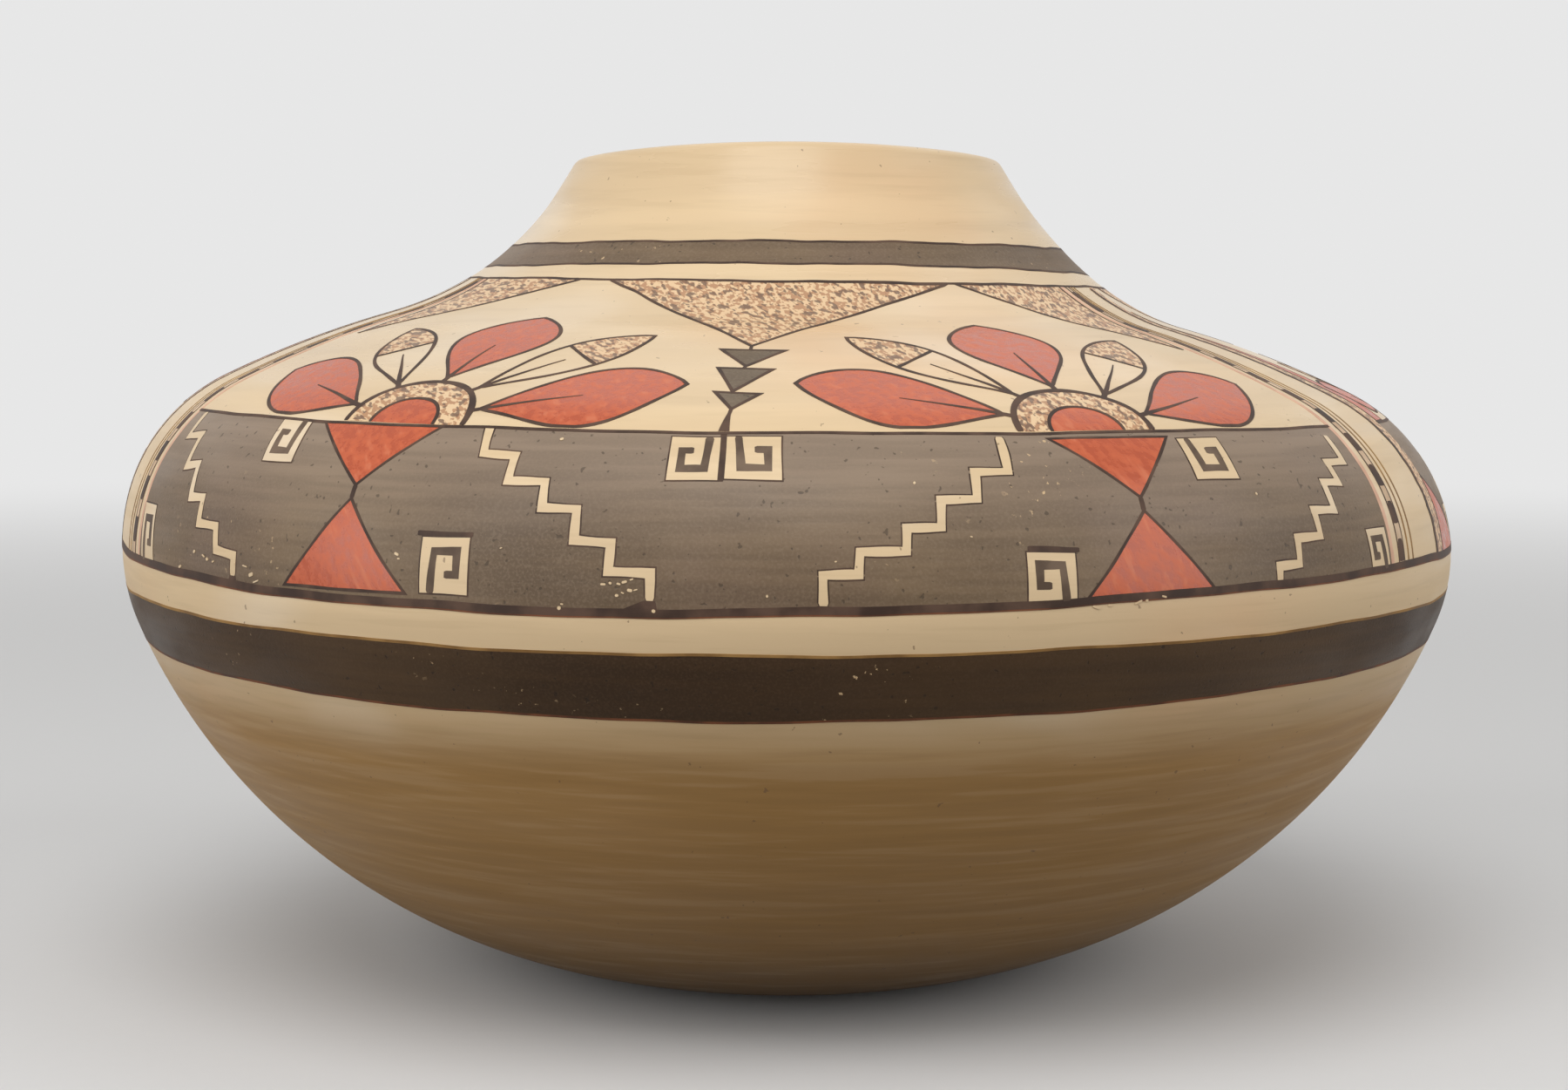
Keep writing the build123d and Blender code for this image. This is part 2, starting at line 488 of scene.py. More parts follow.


# Each finish has its material's name, its slot and its look. The inside has no slot of its own.
paints = {
    "clay": ("polishedClay", "polished_clay", clayLook),
    "inside": ("scrapedClay", None, insideLook),
    "red": ("redPaint", "red_paint", redLook),
    "speckle": ("specklePaint", "speckle_paint", speckleLook),
    # brown is the belly band's paint made lighter as painted sheen, and its last colour is the painted sheen
    # on the register's top; darkBrown is that paint's own colour
    "brown": ("brownPaintLitCopy", "brown_paint", brownLook(
        0.3, (0.124, 0.080, 0.044), (0.206, 0.142, 0.084), (0.178, 0.120, 0.088), (0.28, 0.205, 0.14),
        (0.33, 0.25, 0.185))),
    "darkBrown": ("darkBrownPaint", "brown_paint", brownLook(
        0.2, (0.038, 0.019, 0.007), (0.078, 0.043, 0.018), (0.048, 0.026, 0.013), (0.095, 0.055, 0.03))),
    "olive": ("olivePaint", "brown_paint", brownLook(
        0.3, (0.115, 0.080, 0.048), (0.17, 0.122, 0.075), (0.14, 0.10, 0.068), (0.25, 0.19, 0.12))),
    "dark": ("darkLinePaint", "line_paint", lineLook((0.105, 0.062, 0.043), (0.040, 0.022, 0.015))),
    "umber": ("umberHookPaint", "line_paint", lineLook((0.175, 0.122, 0.084), (0.082, 0.052, 0.034))),
    "rust": ("rustLinePaint", "line_paint", lineLook((0.20, 0.075, 0.035), (0.07, 0.028, 0.015))),
    "ochre": ("ochreLinePaint", "line_paint", lineLook((0.36, 0.205, 0.070), (0.20, 0.105, 0.034))),
    "pink": ("pinkLinePaint", "line_paint", lineLook((0.74, 0.48, 0.34), (0.60, 0.35, 0.24))),
    "dashGround": ("dashGroundPaint", "line_paint", lineLook((0.66, 0.50, 0.35), (0.52, 0.36, 0.23))),
}
finishes = {key: makeMaterial(name, look) for key, (name, slot, look) in paints.items()}
print("materials made:", len(finishes))

# The courses of clay. Each ends at a share of one of the outline's stretches.
courseWork = {
    "ends": {
        "puki_base": ("lowerWall", 2 / 3),
        "lower_wall_coil": ("lowerWall", 1.0),
        "belly_coil": ("belly", 0.5),
        "shoulder_coil_1": ("belly", 1.0),
        "shoulder_coil_2": ("shoulder", 1.0),
        "shoulder_coil_3": ("neck", 2 / 3),
        "neck_coil": ("neck", 1.0),
        "rim_coil": ("lip", 1.0),
    },
    "stepsAround": 360,
    "rowHeight": 0.0015,
    "lipRows": 12,
    "floorRows": 24,
}


def rowsBetween(start, end):
    # Evenly spaced runs up or down the wall
    return np.linspace(start, end, pointCount(abs(end - start), courseWork["rowHeight"]))


def lipProfile():
    # The lip is a half circle from the outside of the wall over to the inside, swollen at its two
    # shoulders by sin(2 * turn) ** 2, because it was wiped level while wet
    half = jarShape["rimThickness"] / 2
    outside = stretches["lip"][5] - math.pi / 2  # square to the lip's slope
    middleAcross, middleUp = wallPoint(wallRun - half, half)
    turn = np.linspace(0, math.pi, courseWork["lipRows"])[1:-1]
    away = half * (1 + handShape["lipSwell"] * np.sin(2 * turn) ** 2)
    across, up = middleAcross + away * np.cos(outside + turn), middleUp + away * np.sin(outside + turn)
    return np.full(len(turn), wallRun), across, up


def floorProfile(across, up):
    # The level floor inside, from here in to the axis
    across = np.linspace(across, 0, courseWork["floorRows"])[1:]
    return np.zeros(len(across)), across, np.full(len(across), up)


def makeCourse(name, start, end):
    # A profile in (across, up), carried round the axis: up the outside, over the joint or the lip,
    # down the inside and back along the joint below
    isBase, isRim = name == "puki_base", name == "rim_coil"
    lap, half = jarShape["lapDepth"], jarShape["rimThickness"] / 2
    outerRun = rowsBetween(-jarShape["footRadius"] if isBase else start, wallRun - half if isRim else end)
    innerTop = wallRun - half if isRim else end - lap
    innerRun = rowsBetween(innerTop, jarShape["floorReach"] if isBase else start - lap)
    innerAcross, innerUp = wallPoint(innerRun, wallThickness(innerRun))
    profile = [(outerRun, *wallPoint(outerRun, 0)), (innerRun, innerAcross, innerUp)]
    if isRim:
        profile.insert(1, lipProfile())
    if isBase:
        profile.append(floorProfile(innerAcross[-1], innerUp[-1]))
    run, across, up = [np.concatenate(column) for column in zip(*profile)]
    firstInside = len(outerRun) + (len(profile[1][0]) if isRim else 0)
    # The scraper leaves shallow upright hollows inside, between the edges of the course
    row = np.arange(len(run))
    scrapedRow = (row >= firstInside) & (row < firstInside + len(innerRun))
    steps = courseWork["stepsAround"]
    azimuth = np.arange(steps)[None, :] * 2 * math.pi / steps
    scraped = (1 - np.cos(handShape["strokes"] * azimuth)) / 2 * handShape["strokeDepth"]
    scraped = scraped * (within(run, handShape["strokeStart"], handShape["strokeEnd"]) * scrapedRow)[:, None]
    points = handBuilt(across[:, None] + scraped, up[:, None], azimuth, run[:, None]).reshape(-1, 3)
    normals = skinNormal(azimuth, run[:, None]).reshape(-1, 3)
    ids = np.arange(len(run) * steps).reshape(len(run), steps)
    if isBase:
        # Each end of the profile lies on the axis, as one point with a fan of triangles round it
        poles = [0, len(points) - steps]
        keep = np.r_[poles[0], ids[1:-1].ravel(), poles[1]]
        points, normals = points[keep], normals[keep]
        ids = ids[1:-1] - steps + 1
        ring, last = np.roll(ids, -1, axis=1), np.full(steps, len(keep) - 1)
        under = np.stack([np.zeros(steps, int), ring[0], ids[0]], axis=-1)
        over = np.stack([ids[-1], ring[-1], last], axis=-1)
        faces = gridFaces(ids, True).tolist() + under.tolist() + over.tolist()
        rowOfFace = np.r_[np.repeat(row[1:-2], steps), np.repeat([0, row[-2]], steps)]
    else:
        faces = gridFaces(np.vstack([ids, ids[:1]]), True).tolist()
        rowOfFace = np.repeat(row, steps)
    # A row of faces lies between two rows of the profile. The lip counts as outside, a joint as inside.
    skinFaces = rowOfFace < len(outerRun) - 1
    finishOfFace = np.where(rowOfFace < firstInside - (0 if isRim else 1), 0, 1)
    pair = [finishes["clay"], finishes["inside"]]
    piece = makePiece(name + "Skin", points, faces, skinFaces, normals, pair, finishOfFace)
    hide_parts(name)


start = 0.0
for name, (stretch, share) in courseWork["ends"].items():
    end = stretches[stretch][0] + stretches[stretch][1] * share
    makeCourse(name, start, end)
    start = end
print("courses made:", len(courseWork["ends"]))

# Paint. Places are listed as (degrees round from the front, millimetres up the wall from the foot),
# and the widths of lines in millimetres.
brushWork = {
    "step": 0.0013,  # a film's grid
    "cornerStep": 0.0006,  # a fill's edges are read this finely, so that they keep their corners
    "under": 0.00002,  # how far a film reaches into the clay
    "firstLevel": 0.000030,  # how proud the lowest layer stands, and how much more each next one
    "levelStep": 0.000011,
    "waver": (0.00013, 0.00006, 0.00003),  # the hand strays by these, in these waves round the jar
    "waverAround": (13, 29, 53),
    "waverRise": (190, 9, 240),  # and turns by these, in radians a metre of wall
    "leastRadius": 0.03,  # no line strays further round than it would at this radius
    "edgeSteps": 61,
    "bandSteps": 720,
    "bandRow": 1.4,  # the height of a band's rows, in millimetres
    "straightSteps": 25,
    "shoulderFoot": 0.150,  # straight edges lie on the wall from here up
    "shoulderSteps": 400,
    "swell": 0.09,  # how much a stroke's width changes, and in which waves along it and round the jar
    "swellWaves": (700, 40),
    "endPlaces": (0.0, 0.12, 0.3),  # a stroke's end narrows over the last of these shares of its width
    "endShare": 0.75,  # how much of its width a stroke has left at its end
    "mitreLimit": 0.35,  # keeps the mitre of a sharp corner short
    "nib": 0.06,  # half the width of a painted point, in degrees
    "hangingNib": 0.08,
}


def waver(azimuth, run):
    # Every line strays by the same smooth waves, so that a fill and its outline stray together:
    # a sine of turn and run, times a cosine of the run, to the side, and another sine up the wall
    radius = np.maximum(wallPoint(run, 0)[0], brushWork["leastRadius"])
    rise, beat, fall = brushWork["waverRise"]
    aside, along = 0.0, 0.0
    for n, size in zip(brushWork["waverAround"], brushWork["waver"]):
        aside = aside + size * np.sin(n * azimuth + run * rise + n) * np.cos(run * n * beat)
        along = along + size * np.sin(n * azimuth - run * fall + 2 * n)
    return azimuth + aside / radius, run + along


def placed(points):
    # Listed places, in radians and metres
    points = np.asarray(points, float)
    return np.stack([np.radians(points[:, 0]), points[:, 1] / 1000], axis=1)


def lengthsAlong(points):
    # The length from each point to the next, with the degrees round measured at the wall's radius
    step = np.diff(points, axis=0)
    radius = wallPoint((points[1:, 1] + points[:-1, 1]) / 2, 0)[0]
    return np.hypot(step[:, 0] * radius, step[:, 1])


def distanceAlong(points):
    # How far along the line each point lies
    return np.concatenate([[0], np.cumsum(lengthsAlong(points))])


def readAt(points, known, wanted):
    # The line read between its points, which lie at the known distances, at the wanted ones
    return np.stack([np.interp(wanted, known, points[:, i]) for i in range(2)], axis=1)


def traced(points, step):
    # The same line with a point at least every step, and its corners kept
    parts = np.maximum(1, np.ceil(lengthsAlong(points) / step)).astype(int)
    shares = np.concatenate([i + np.arange(n) / n for i, n in enumerate(parts)] + [[len(parts)]])
    return readAt(points, np.arange(len(points)), shares)


def evened(points, count):
    # The same line with its points at equal shares of its length
    along = distanceAlong(points)
    return readAt(points, along, np.linspace(0, along[-1], count))


def fromAbove(points):
    # Places on the shoulder as seen from above: radius * (sine, -cosine)
    radius = wallPoint(points[..., 1], 0)[0]
    return np.stack([radius * np.sin(points[..., 0]), -radius * np.cos(points[..., 0])], axis=-1)


def ontoShoulder(seen):
    # Back onto the wall: the turn from the two shares, and the run at which the wall has that radius
    run = np.linspace(brushWork["shoulderFoot"], wallRun, brushWork["shoulderSteps"])
    turn = np.arctan2(seen[..., 0], -seen[..., 1])
    found = np.interp(-np.hypot(seen[..., 0], seen[..., 1]), -wallPoint(run, 0)[0], run)
    return np.stack([turn, found], axis=-1)


def straightOver(start, end):
    # A straight edge across the shoulder: start + (end - start) * share, as seen from above
    start, end = fromAbove(placed([start, end]))
    share = np.linspace(0, 1, brushWork["straightSteps"])[:, None]
    path = ontoShoulder(start + (end - start) * share)
    return list(zip(np.degrees(path[:, 0]).tolist(), (path[:, 1] * 1000).tolist()))


def filled(first, second):
    # A fill between two edges: first + (second - first) * share
    edges = [traced(placed(edge), brushWork["cornerStep"]) for edge in (first, second)]
    count = pointCount(max(lengthsAlong(edge).sum() for edge in edges), brushWork["step"])
    first, second = [evened(edge, count) for edge in edges]
    gap = max(lengthsAlong(np.stack([first[i], second[i]])).max() for i in (0, count // 2, -1))
    share = np.linspace(0, 1, pointCount(gap, brushWork["step"]))[:, None, None]
    grid = first + (second - first) * share
    return grid[..., 0], grid[..., 1], False


def nibAt(tip, half):
    # A level end that reaches this far to both sides
    return (tip[0] - half, tip[1]), (tip[0] + half, tip[1])


def pointedFill(corners):
    # A triangle, filled from its first side to a point at its last corner
    return filled(corners[:2], nibAt(corners[2], brushWork["nib"]))


def pointedShapes(shapes, width):
    # The fills of some triangles, and their outlines
    return [pointedFill(corners) for corners in shapes], [stroke(corners, width, True) for corners in shapes]


def edgeRun(edge, turn):
    # How far up the wall this edge of a band lies, in millimetres, at a turn in degrees
    run, sway, bow = bands["edges"][edge]
    double = np.radians(2 * np.asarray(turn, float))
    return run + sway * np.sin(double) + bow * np.cos(double)


def edgeBetween(edge, start, end):
    # An edge as a list of places, from one turn to another
    turn = np.linspace(start, end, brushWork["edgeSteps"])
    return list(zip(turn.tolist(), edgeRun(edge, turn).tolist()))


def registerFill(start, end):
    # The register from foot to top, from one turn to another
    return filled(edgeBetween("registerFoot", start, end), edgeBetween("registerTop", start, end))


def band(lowEdge, highEdge, below=0.0, above=0.0):
    # A band all the way round, from this far below one edge to this far above another:
    # low + (high - low) * share
    turn = np.linspace(0, 360, brushWork["bandSteps"], endpoint=False)
    low, high = edgeRun(lowEdge, turn) - below, edgeRun(highEdge, turn) + above
    share = np.linspace(0, 1, pointCount((high - low).max(), brushWork["bandRow"]))[:, None]
    run = (low + (high - low) * share) / 1000
    return np.broadcast_to(np.radians(turn), run.shape), run, True


def lineRound(edge, width):
    # A line all the way round, half its width below and above the edge
    return band(edge, edge, width / 2, width / 2)


def lineBetween(edge, start, end, width):
    # The same kind of line, from one turn to another
    line = edgeBetween(edge, start, end)
    low, high = [[(turn, run + side * width / 2) for turn, run in line] for side in (-1, 1)]
    return filled(low, high)


def stroke(points, width, closed=False, endShare=brushWork["endShare"]):
    # A brush line: the path, set off to both sides by half the width along each corner's mitre,
    # (one side's normal + the next's) / (1 + their product). Its ends narrow to endShare.
    width = width / 1000
    line = traced(placed(points + points[:1] if closed else points), brushWork["step"])
    if not closed:
        along = distanceAlong(line)
        ends = width * np.array(brushWork["endPlaces"])
        ends = ends[ends < along[-1] / 2]
        line = readAt(line, along, np.unique(np.concatenate([along, ends, along[-1] - ends])))
    radius = wallPoint(line[:, 1], 0)[0]
    step = np.diff(line, axis=0)
    step[:, 0] = step[:, 0] * (radius[1:] + radius[:-1]) / 2
    side = np.stack([-step[:, 1], step[:, 0]], axis=1) / np.hypot(step[:, 0], step[:, 1])[:, None]
    along = distanceAlong(line)
    if closed:
        line, radius, along = line[:-1], radius[:-1], along[:-1]
        before, after = np.roll(side, 1, axis=0), side
    else:
        before, after = np.vstack([side[:1], side]), np.vstack([side, side[-1:]])
    product = np.maximum(1 + (before * after).sum(axis=1), brushWork["mitreLimit"])
    lengthWaves, turnWaves = brushWork["swellWaves"]
    half = width / 2 * (1 + brushWork["swell"] * np.sin(along * lengthWaves + line[0, 0] * turnWaves))
    if not closed:
        fromEnd = np.minimum(along, along[-1] - along) / (width * brushWork["endPlaces"][-1])
        half = half * np.clip(endShare + (1 - endShare) * fromEnd, 0, 1)
    away = (before + after) * (half / product)[:, None] / np.stack([radius, np.ones(len(radius))], axis=1)
    grid = line + away * np.array([-1.0, 0.0, 1.0])[:, None, None]
    return grid[..., 0], grid[..., 1], closed


def rimOf(ids):
    # The point numbers along a grid's rim, once round
    return np.concatenate([ids[0, :-1], ids[:-1, -1], ids[-1, :0:-1], ids[:0:-1, 0]])


def filmFaces(count, azimuth, run, wrapped):
    # Top, underside and edge of one film, with its points numbered from count
    rows, columns = azimuth.shape
    top = count + np.arange(rows * columns).reshape(rows, columns)
    under = top + rows * columns
    # The cross product of a step along the rows and a step from row to row says which way it faces
    alongTurn, alongRun = [np.diff(field, axis=1)[1:] for field in (azimuth, run)]
    overTurn, overRun = [np.diff(field, axis=0)[:, 1:] for field in (azimuth, run)]
    if (alongTurn * overRun - overTurn * alongRun).sum() < 0:
        top, under = top[::-1], under[::-1]
    faces = [gridFaces(top, wrapped), gridFaces(under, wrapped)[:, ::-1]]
    if wrapped:
        loops = [(top[0], under[0]), (top[-1][::-1], under[-1][::-1])]
    else:
        loops = [(rimOf(top), rimOf(under))]
    for upper, lower in loops:
        faces.append(np.stack([lower, np.roll(lower, -1), np.roll(upper, -1), upper], axis=-1))
    return faces


def paintPiece(name, finish, films, layer):
    # All films of one layer: thin slabs that lie on the skin, closed all round
    level = brushWork["firstLevel"] + layer * brushWork["levelStep"]
    points, normals, faces, tops, count = [], [], [], [], 0
    for azimuth, run, wrapped in films:
        azimuth, run = waver(azimuth, run)
        for proud in (level, -brushWork["under"]):
            points.append(skin(azimuth, run, proud).reshape(-1, 3))
        normals += [skinNormal(azimuth, run).reshape(-1, 3)] * 2
        for i, quads in enumerate(filmFaces(count, azimuth, run, wrapped)):
            faces.append(quads)
            tops.append(np.full(len(quads), i == 0))
        count += 2 * azimuth.size
    faces, tops, points, normals = [np.concatenate(column) for column in (faces, tops, points, normals)]
    finishOfFace = np.zeros(len(faces), int)
    piece = makePiece(name, points, faces.tolist(), tops, normals, [finishes[finish]], finishOfFace)


def paintPanels(name, finish, films, layer):
    # The same films in front and, half a turn on, behind
    behind = [(azimuth + math.pi, run, wrapped) for azimuth, run, wrapped in films]
    paintPiece(name, finish, films + behind, layer)


# Bands and lines round the jar, from the lip down. Each edge lies this far up the wall, and strays
# from level by sway * sin(2 * turn) + bow * cos(2 * turn), the same in front and behind.
bands = {
    "edges": {
        "neckBandTop": (226.6, 0.1, 0.3),
        "neckBandFoot": (220.5, 0.25, 0.7),
        "neckLine": (216.0, 0.3, 0.1),
        "registerTop": (158.25, 0.7, 0.1),
        "registerFoot": (129.8, 1.3, -1.1),
        "bellyBandTop": (122.5, 0.3, -0.6),
        "bellyBandFoot": (112.1, 0.45, -1.4),
    },
    "edgeLine": 0.5,
    "thinLine": 0.6,
    "footLine": 1.2,
    "ochreLine": 0.45,
    "rustLine": 0.4,
    "rustEdge": (0.25, 0.2),  # it shows this far below the foot line, and reaches this far under it
}

# The wide register. The stepped lines run from the top down.
register = {
    "left": -64.9,
    "right": 54.6,
    "steppedLines": [
        [(-24.2, 158.0), (-23.7, 152.6), (-21.0, 152.5), (-21.0, 148.0), (-18.0, 148.0), (-17.9, 143.6),
         (-15.2, 143.5), (-15.2, 138.7), (-12.5, 138.5), (-12.6, 134.3), (-9.6, 134.2), (-9.6, 130.2)],
        [(16.7, 158.0), (16.6, 151.1), (14.0, 151.0), (13.8, 146.2), (11.1, 146.1), (10.9, 141.6),
         (8.4, 141.5), (8.3, 137.9), (5.1, 137.7), (5.0, 134.3), (2.5, 134.1), (2.5, 129.5)],
        [(-62.2, 157.3), (-61.6, 151.7), (-58.7, 152.4), (-57.9, 146.3), (-55.6, 146.9), (-54.6, 141.3),
         (-52.4, 141.6), (-52.1, 137.3), (-49.3, 137.0), (-48.9, 133.3), (-46.3, 132.8), (-46.3, 129.8)],
        [(52.3, 156.7), (51.9, 151.1), (49.2, 151.0), (49.3, 147.2), (47.1, 147.3), (47.1, 142.4),
         (44.3, 142.5), (44.3, 138.2), (41.4, 138.0), (41.3, 133.9), (39.0, 133.6), (39.0, 131.0)],
    ],
    "steppedWidth": 1.4,
    # the brush left a blot at each line's foot: its reach to the left and right, and half its top
    "steppedFeet": [(2.4, 0.6), (0.7, 0.7), (0.7, 0.5), (0.4, 0.6)],
    "blotTop": 0.4,
    "hourglasses": [
        [(-41.3, 158.2), (-28.5, 158.2), (-34.3, 145.7), (-34.3, 143.5), (-40.0, 129.5), (-28.3, 129.5)],
        [(20.9, 157.6), (32.0, 157.6), (27.0, 146.2), (27.0, 144.0), (21.5, 130.0), (32.6, 130.0)],
    ],
    # corners from the lower left, then whether the hook is mirrored and whether it is upside down
    "windows": [
        ([(-8.9, 148.8), (-5.1, 148.8), (-5.1, 157.2), (-8.9, 157.2)], False, False),
        ([(-4.6, 149.1), (-0.4, 149.1), (-0.4, 157.4), (-4.6, 157.4)], True, False),
        ([(-46.0, 149.0), (-42.3, 149.0), (-43.0, 157.9), (-46.9, 157.9)], False, False),
        ([(-27.0, 129.7), (-23.1, 129.7), (-23.1, 138.4), (-27.0, 138.4)], True, True),
        ([(17.0, 130.1), (20.7, 130.1), (20.7, 137.5), (17.0, 137.5)], False, True),
        ([(32.9, 149.1), (37.2, 149.1), (37.2, 157.1), (32.9, 157.1)], True, False),
        ([(51.0, 131.2), (54.0, 131.2), (53.9, 138.6), (50.8, 138.6)], False, True),
        ([(-63.9, 129.6), (-60.6, 129.6), (-61.3, 138.9), (-64.5, 138.9)], True, True),
    ],
    # a full dark stroke lies over two of the low windows
    "windowBars": [[(-27.5, 139.0), (-22.9, 138.9)], [(17.1, 138.1), (21.1, 138.0)]],
    "windowBarWidth": 0.8,
    "hook": [(0.78, 1.0), (0.72, 0.25), (0.24, 0.25), (0.24, 0.67), (0.48, 0.67)],
    "hookWidth": 1.3,
    "outline": 0.5,
    "waistWidth": 0.8,
    "middleLine": [(-4.87, 148.6), (-4.87, 158.3)],
    "middleWidth": 1.0,
    # where paint has flaked off: place and length
    "chips": [
        (-12.9, 132.4, 0.9), (-12.4, 132.6, 0.5), (-11.8, 132.5, 0.7), (-11.4, 132.8, 0.9),
        (-10.9, 133.2, 0.6), (-11.9, 130.8, 0.6), (-11.5, 131.2, 0.5), (-11.0, 131.6, 0.9),
        (-10.6, 131.7, 0.7), (-16.0, 128.7, 0.6), (-15.8, 129.3, 0.5), (-9.3, 128.7, 0.6),
        (-44.7, 131.5, 1.4), (-43.9, 130.4, 1.2), (-43.3, 129.5, 1.6), (-52.1, 132.5, 0.7),
        (-50.6, 132.0, 1.0), (-50.0, 131.6, 0.8), (-49.1, 131.4, 0.7), (-54.6, 129.8, 1.1),
        (-46.1, 131.6, 0.6), (22.2, 128.7, 1.4), (23.3, 128.9, 0.8), (25.6, 129.2, 1.5), (26.3, 129.4, 0.6),
        (27.8, 129.9, 1.0), (-29.1, 135.5, 0.9), (-28.9, 134.8, 0.5), (-17.7, 156.0, 0.7), (3.4, 136.2, 0.4),
        (9.3, 149.0, 0.4), (13.0, 140.0, 0.4), (-1.4, 131.0, 0.4), (-20.6, 137.0, 0.4), (38.3, 146.2, 0.4),
    ],
    "chipLean": 0.35,
    "chipWaves": (5, 3),  # lean and width change from chip to chip in sine waves
    "chipReach": 0.2,  # degrees to each side, a millimetre of length
    "chipWidth": 0.34,
    "chipChange": 0.16,
    "chipEnds": 0.4,
}


def windowPlace(corners, across, up):
    # A place inside a four-cornered window, by shares of its width and height
    lowLeft, lowRight, highRight, highLeft = np.asarray(corners)
    low = lowLeft + (lowRight - lowLeft) * across
    high = highLeft + (highRight - highLeft) * across
    return tuple(low + (high - low) * up)


def insideRegister(corner):
    # The same place, but no further than the register's top and foot lines
    turn, run = corner
    return turn, float(np.clip(run, edgeRun("registerFoot", turn), edgeRun("registerTop", turn)))


def glassHalves(corners):
    # An hourglass goes from its top left corner over the two ends of its waist to its foot
    return [corners[:3], corners[4:] + corners[3:4]]


def makeBands():
    edgeLine, thinLine, footLine = bands["edgeLine"], bands["thinLine"], bands["footLine"]
    paintPiece("neckBand", "brown", [band("neckBandFoot", "neckBandTop")], 0)
    neckEdges = [lineRound("neckBandFoot", edgeLine), lineRound("neckBandTop", edgeLine)]
    paintPiece("neckBandEdges", "dark", neckEdges, 2)
    paintPiece("neckLine", "dark", [lineRound("neckLine", thinLine)], 2)
    paintPiece("bellyBand", "darkBrown", [band("bellyBandFoot", "bellyBandTop")], 0)
    paintPiece("bellyBandFoot", "rust", [lineRound("bellyBandFoot", bands["rustLine"])], 2)
    paintPiece("bellyBandTop", "ochre", [lineRound("bellyBandTop", bands["ochreLine"])], 2)
    panels = [(register["left"], register["right"]), sideEdges()]
    tops = [lineBetween("registerTop", *ends, thinLine) for ends in panels]
    paintPanels("registerTopLine", "dark", tops, 6)
    paintPiece("registerFootLine", "dark", [lineRound("registerFoot", footLine)], 6)
    below, into = bands["rustEdge"]
    rustEdge = band("registerFoot", "registerFoot", footLine / 2 + below, into - footLine / 2)
    paintPiece("registerFootEdge", "rust", [rustEdge], 5)


def makeRegister():
    paintPanels("registerGround", "brown", [registerFill(register["left"], register["right"])], 0)
    steps = register["steppedLines"]
    width, outline = register["steppedWidth"], register["outline"]
    shadows = [stroke(line, width + outline) for line in steps]
    for line, (toLeft, toRight) in zip(steps, register["steppedFeet"]):
        turn, rise = line[-1]
        foot = edgeRun("registerFoot", turn)
        blotTop = nibAt((turn, rise), register["blotTop"])
        shadows.append(filled([(turn - toLeft, foot), (turn + toRight, foot)], blotTop))
    paintPanels("steppedLineEdges", "dark", shadows, 1)
    paintPanels("steppedLines", "clay", [stroke(line, width) for line in steps], 3)
    glasses = [[insideRegister(corner) for corner in corners] for corners in register["hourglasses"]]
    reds, lines = pointedShapes([half for corners in glasses for half in glassHalves(corners)], outline)
    lines += [stroke(corners[2:4], register["waistWidth"]) for corners in glasses]
    paintPanels("hourglasses", "red", reds, 2)
    paintPanels("hourglassEdges", "dark", lines, 4)
    panes, edges, hooks = [], [], []
    for corners, mirrored, flipped in register["windows"]:
        corners = [insideRegister(corner) for corner in corners]
        panes.append(filled(corners[:2], corners[:1:-1]))
        edges.append(stroke(corners, outline, True))
        hook = [(1 - u if mirrored else u, 1 - v if flipped else v) for u, v in register["hook"]]
        hooks.append(stroke([windowPlace(corners, u, v) for u, v in hook], register["hookWidth"]))
    edges.append(stroke(register["middleLine"], register["middleWidth"]))
    edges += [stroke(bar, register["windowBarWidth"]) for bar in register["windowBars"]]
    paintPanels("fretWindows", "clay", panes, 5)
    paintPanels("fretWindowEdges", "dark", edges, 3)
    paintPanels("fretHooks", "umber", hooks, 7)
    chips = []
    leanWave, widthWave = register["chipWaves"]
    for i, (turn, rise, length) in enumerate(register["chips"]):
        lean = register["chipLean"] * math.sin(leanWave * i) * length / 2
        reach = register["chipReach"] * length
        width = register["chipWidth"] + register["chipChange"] * math.sin(widthWave * i)
        ends = [(turn - reach, rise - lean), (turn + reach, rise + lean)]
        chips.append(stroke(ends, width, endShare=register["chipEnds"]))
    paintPiece("registerChips", "clay", chips, 9)


# Speckled triangles hang from the line under the neck. Small ones hang in a column below the middle.
hangingWork = {
    "speckled": [
        [(-30.5, 215.8), (27.2, 216.0), (-3.9, 188.0)],
        [(28.9, 216.1), (53.6, 216.2), (53.0, 188.5)],
        [(-36.3, 215.8), (-63.6, 215.8), (-62.2, 188.5)],
    ],
    "column": [
        [(-6.9, 186.1), (-0.3, 185.9), (-4.0, 179.0)],
        [(-6.6, 178.2), (-1.4, 177.9), (-4.8, 169.8)],
        [(-6.3, 169.4), (-2.4, 169.2), (-4.6, 164.3)],
    ],
    "stem": [[(-3.9, 188.0), (-3.9, 186.0)], [(-4.0, 179.0), (-4.2, 178.0)], [(-4.8, 169.8), (-4.7, 169.3)],
             [(-4.6, 164.3), (-4.9, 158.7)]],
    "root": [[(-4.75, 163.6), (-4.55, 163.6)], [(-5.35, 158.7), (-4.45, 158.7)]],
    "outline": 0.6,
}


def hangingEdges(corners):
    # The two slanting sides, from the level top down to the tip
    first, second, tip = corners
    left, right = nibAt(tip, brushWork["hangingNib"])
    return straightOver(first, left), straightOver(second, right)


def hangingOutline(corners):
    # Down one side and up the other
    left, right = hangingEdges(corners)
    return left + right[::-1]


